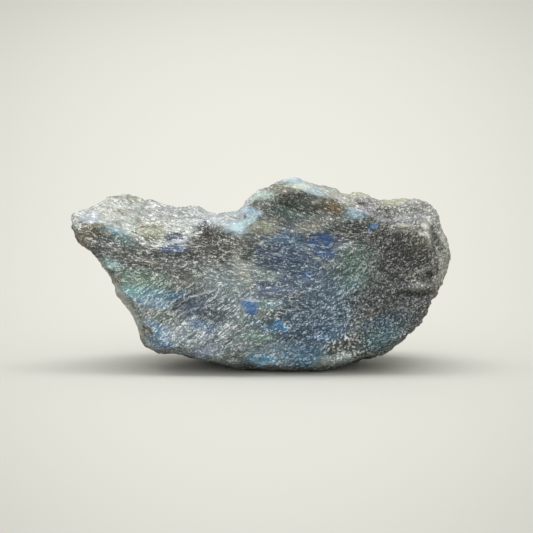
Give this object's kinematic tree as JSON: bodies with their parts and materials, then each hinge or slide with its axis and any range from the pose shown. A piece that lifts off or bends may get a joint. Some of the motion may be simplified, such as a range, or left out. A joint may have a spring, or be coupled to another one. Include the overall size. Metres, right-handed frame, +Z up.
{
  "type": "labradorite chunk",
  "caption": "Semi-polished chunk of labradorite with a rubbed blue-flashing front face and rough broken sides, standing on a small ground flat.",
  "frame": {"origin": "middle of the bounding box's underside, on the ground that the stone stands on", "axes": "+Z up, +X along the stone's length from its horn to its thick rounded end, -Y out of the rubbed front face"},
  "size_m": [0.1096, 0.0434, 0.0543],
  "materials": {
    "labradorite": "rubbed but not glossy, grainy, with blue and green flashes"
  },
  "bodies": {
    "root": {"labradorite_chunk": "labradorite"}
  },
  "joints": []
}
